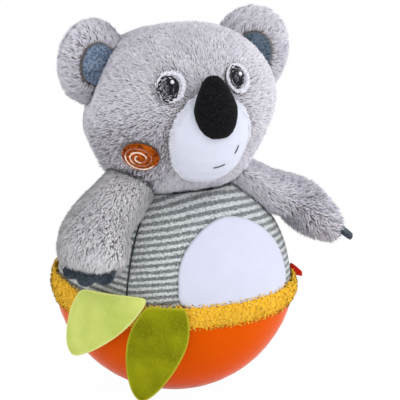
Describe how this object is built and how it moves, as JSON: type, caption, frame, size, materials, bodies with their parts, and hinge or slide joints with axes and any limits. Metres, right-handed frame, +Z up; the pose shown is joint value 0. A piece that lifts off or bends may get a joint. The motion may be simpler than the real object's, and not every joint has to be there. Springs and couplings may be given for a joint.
{
  "type": "roly-poly toy",
  "caption": "Plush koala tumbler toy on a weighted orange bowl, with chime inside, sewn head and arms, striped body, white belly and cloth leaves at the waist",
  "frame": {"origin": "middle of the flat foot under the bowl", "axes": "+Z up, the belly faces -Y, the toy's left is +X"},
  "size_m": [0.1825, 0.1348, 0.2106],
  "materials": {
    "bowl_plastic": "glossy moulded orange",
    "cast_iron": "rough cast",
    "screw_steel": "zinc-plated",
    "inner_plastic": "plain moulded",
    "chime_steel": "drawn rod",
    "yellow_plush": "curly short plush",
    "striped_jersey": "knitted stripes",
    "fibre_filling": "loose polyester fibre",
    "white_plush": "short smooth plush",
    "red_ribbon": "woven ribbon",
    "grey_plush": "soft plush",
    "black_fleece": "brushed fleece",
    "white_thread": "satin stitch",
    "dark_thread": "satin stitch",
    "orange_thread": "satin stitch",
    "dark_felt": "pressed felt",
    "light_green_cloth": "woven velour",
    "olive_cloth": "woven velour"
  },
  "bodies": {
    "body": {"base_bowl": "bowl_plastic", "ballast_weight": "cast_iron", "ballast_screw": "screw_steel", "base_lid": "inner_plastic", "lid_screw_1": "screw_steel", "lid_screw_2": "screw_steel", "lid_screw_3": "screw_steel", "lid_screw_4": "screw_steel", "chime_hub": "inner_plastic", "hub_screw_1": "screw_steel", "hub_screw_2": "screw_steel", "chime_rod_1": "chime_steel", "chime_rod_2": "chime_steel", "chime_rod_3": "chime_steel", "chime_rod_4": "chime_steel", "chime_rod_5": "chime_steel", "chime_rod_6": "chime_steel", "fur_band": "yellow_plush", "torso_cover": "striped_jersey", "torso_filling": "fibre_filling", "belly_patch": "white_plush", "side_tag": "red_ribbon", "shoulder_left": "grey_plush", "shoulder_right": "grey_plush"},
    "head": {"head_cover": "grey_plush", "head_filling": "fibre_filling", "muzzle": "white_plush", "nose": "black_fleece", "eye_white_left": "white_thread", "eye_white_right": "white_thread", "pupil_left": "dark_thread", "pupil_right": "dark_thread", "cheek_swirl": "orange_thread", "ear_left": "grey_plush", "ear_right": "grey_plush", "ear_lining_left": "dark_felt", "ear_lining_right": "dark_felt"},
    "left_arm": {"arm_left": "grey_plush", "claws_left": "dark_felt"},
    "right_arm": {"arm_right": "grey_plush", "claws_right": "dark_felt"},
    "light_leaf": {"leaf_light": "light_green_cloth"},
    "dark_leaf": {"leaf_dark": "olive_cloth"},
    "striker_ball": {"pendulum_link": "inner_plastic"},
    "striker": {"pendulum": "inner_plastic"}
  },
  "joints": [
    {"name": "head_nod", "type": "hinge", "parent": "body", "child": "head", "pos_m": [-0.00117, -0.00486, 0.157], "axis": [0.9724, -0.2334, 0], "range_deg": [-8, 8], "stiffness_Nm_per_rad": 0.6},
    {"name": "arm_left_lift", "type": "hinge", "parent": "body", "child": "left_arm", "pos_m": [0.05085, -0.02371, 0.11002], "axis": [-0.4226, -0.9063, 0], "range_deg": [-6, 45], "stiffness_Nm_per_rad": 0.08},
    {"name": "arm_right_lift", "type": "hinge", "parent": "body", "child": "right_arm", "pos_m": [-0.04896, -0.01879, 0.11381], "axis": [-0.3584, 0.9336, 0], "range_deg": [-2, 50], "stiffness_Nm_per_rad": 0.08},
    {"name": "leaf_light_lift", "type": "hinge", "parent": "body", "child": "light_leaf", "pos_m": [-0.06498, -0.02893, 0.0655], "axis": [-0.4067, 0.9135, 0], "range_deg": [0, 60]},
    {"name": "leaf_dark_lift", "type": "hinge", "parent": "body", "child": "dark_leaf", "pos_m": [-0.046, -0.05386, 0.0625], "axis": [-0.7604, 0.6494, 0], "range_deg": [0, 60]},
    {"name": "striker_roll", "type": "hinge", "parent": "body", "child": "striker_ball", "pos_m": [0, 0, 0.0415], "axis": [1, 0, 0], "range_deg": [-9, 9]},
    {"name": "striker_pitch", "type": "hinge", "parent": "striker_ball", "child": "striker", "pos_m": [0, 0, 0.0415], "axis": [0, 1, 0], "range_deg": [-9, 9]}
  ]
}
